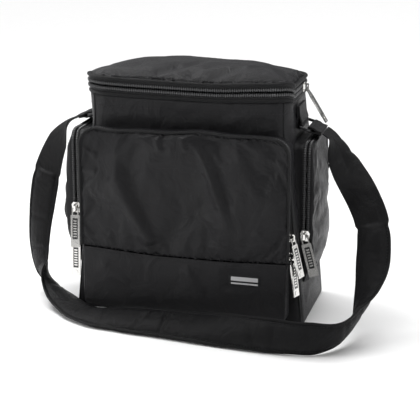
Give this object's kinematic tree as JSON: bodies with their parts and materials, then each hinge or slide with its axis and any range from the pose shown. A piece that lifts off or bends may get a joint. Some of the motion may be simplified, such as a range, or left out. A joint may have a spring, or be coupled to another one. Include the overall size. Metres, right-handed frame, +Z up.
{
  "type": "shoulder bag",
  "caption": "Soft black fabric shoulder bag: zip-round domed lid, front pocket with a hoop-shaped zip, a zipped pocket on each side, metal pulls and a padded strap.",
  "frame": {"origin": "middle of the body's base, on the surface the bag stands on", "axes": "+Z up, the front pocket faces -Y, +X is the right side as seen from the front"},
  "size_m": [0.4482, 0.218, 0.287],
  "materials": {
    "nylon": "fine twill, slight sheen",
    "trim_tape": "woven tape",
    "zip_coil": "satin nylon coil",
    "webbing": "ribbed webbing",
    "foam": "foam padding",
    "lining": "smooth lining",
    "stiff_board": "matt",
    "label": "woven patch",
    "bright_metal": "nickel plated"
  },
  "bodies": {
    "bag": {"back_foam": "foam", "back_wall": "nylon", "base_board": "stiff_board", "base_panel": "nylon", "body_zip_coil": "zip_coil", "body_zip_tape": "trim_tape", "front_body_zip_coil": "zip_coil", "front_foam": "foam", "front_pocket_band": "nylon", "front_pocket_gusset": "nylon", "front_wall": "nylon", "label": "label", "left_foam": "foam", "left_pocket_gusset_inner": "nylon", "left_pocket_gusset_outer": "nylon", "left_pocket_panel": "nylon", "left_pocket_zip_coils": "zip_coil", "left_ring": "bright_metal", "left_ring_anchor": "webbing", "left_strap_loop": "webbing", "left_wall": "nylon", "lid_hinge_lower": "trim_tape", "lining": "lining", "right_foam": "foam", "right_pocket_gusset_inner": "nylon", "right_pocket_gusset_outer": "nylon", "right_pocket_panel": "nylon", "right_pocket_zip_coils": "zip_coil", "right_ring": "bright_metal", "right_ring_anchor": "webbing", "right_strap_loop": "webbing", "right_wall": "nylon", "rim_binding": "trim_tape", "shoulder_pad": "nylon", "strap_webbing_left": "webbing", "strap_webbing_right": "webbing"},
    "lid": {"lid_hinge_upper": "trim_tape", "lid_zip_coil": "zip_coil", "lid_zip_tape": "trim_tape", "lid_piping": "trim_tape", "lid_panel": "nylon"},
    "front_flap": {"front_flap_panel": "nylon", "front_flap_piping": "trim_tape", "front_flap_zip_tape": "trim_tape", "front_flap_zip_coil": "zip_coil"},
    "lid_slider": {"lid_slider": "bright_metal"},
    "lid_pull": {"lid_pull": "bright_metal"},
    "front_upper_slider": {"front_upper_slider": "bright_metal"},
    "front_upper_pull": {"front_upper_pull": "bright_metal"},
    "front_lower_slider": {"front_lower_slider": "bright_metal"},
    "front_lower_pull": {"front_lower_pull": "bright_metal"},
    "left_upper_slider": {"left_upper_slider": "bright_metal"},
    "left_upper_pull": {"left_upper_pull": "bright_metal"},
    "left_lower_slider": {"left_lower_slider": "bright_metal"},
    "left_lower_pull": {"left_lower_pull": "bright_metal"},
    "right_slider": {"right_slider": "bright_metal"},
    "right_pull": {"right_pull": "bright_metal"}
  },
  "joints": [
    {"name": "lid_hinge", "type": "hinge", "parent": "bag", "child": "lid", "pos_m": [0, 0.064, 0.2586], "axis": [-1, 0, 0], "range_deg": [0, 105]},
    {"name": "front_flap_hinge", "type": "hinge", "parent": "bag", "child": "front_flap", "pos_m": [0, -0.0825, 0.0775], "axis": [1, 0, 0], "range_deg": [0, 95]},
    {"name": "lid_slider_slide", "type": "slide", "parent": "bag", "child": "lid_slider", "axis": [0, 1, 0], "range_m": [-0.042, 0.012]},
    {"name": "lid_pull_swing", "type": "hinge", "parent": "lid_slider", "child": "lid_pull", "pos_m": [0.11875, 0.02, 0.2578], "axis": [0, -1, 0], "range_deg": [0, 110]},
    {"name": "front_upper_slider_slide", "type": "slide", "parent": "bag", "child": "front_upper_slider", "axis": [0, 0, 1], "range_m": [0, 0.07]},
    {"name": "front_upper_pull_swing", "type": "hinge", "parent": "front_upper_slider", "child": "front_upper_pull", "pos_m": [0.12385, -0.071, 0.1062], "axis": [-0.342, -0.9384, -0.0492], "range_deg": [-1, 110]},
    {"name": "front_lower_slider_slide", "type": "slide", "parent": "bag", "child": "front_lower_slider", "axis": [0, 0, 1], "range_m": [-0.002, 0]},
    {"name": "front_lower_pull_swing", "type": "hinge", "parent": "front_lower_slider", "child": "front_lower_pull", "pos_m": [0.12385, -0.071, 0.0847], "axis": [-0.342, -0.9397, 0], "range_deg": [-3, 5]},
    {"name": "left_upper_slider_slide", "type": "slide", "parent": "bag", "child": "left_upper_slider", "axis": [0, 0, 1], "range_m": [0, 0.07]},
    {"name": "left_upper_pull_swing", "type": "hinge", "parent": "left_upper_slider", "child": "left_upper_pull", "pos_m": [-0.1385, -0.05085, 0.1152], "axis": [-0.9994, 0, -0.0349], "range_deg": [0, 110]},
    {"name": "left_lower_slider_slide", "type": "slide", "parent": "bag", "child": "left_lower_slider", "axis": [0, 0, 1], "range_m": [-0.006, 0]},
    {"name": "left_lower_pull_swing", "type": "hinge", "parent": "left_lower_slider", "child": "left_lower_pull", "pos_m": [-0.1385, -0.05085, 0.0792], "axis": [-0.9998, 0, 0.0175], "range_deg": [0, 22]},
    {"name": "right_slider_slide", "type": "slide", "parent": "bag", "child": "right_slider", "axis": [0, 0, 1], "range_m": [-0.003, 0.08]},
    {"name": "right_pull_swing", "type": "hinge", "parent": "right_slider", "child": "right_pull", "pos_m": [0.1332, -0.05085, 0.1022], "axis": [-0.9118, -0.342, -0.2273], "range_deg": [-3, 110]}
  ]
}
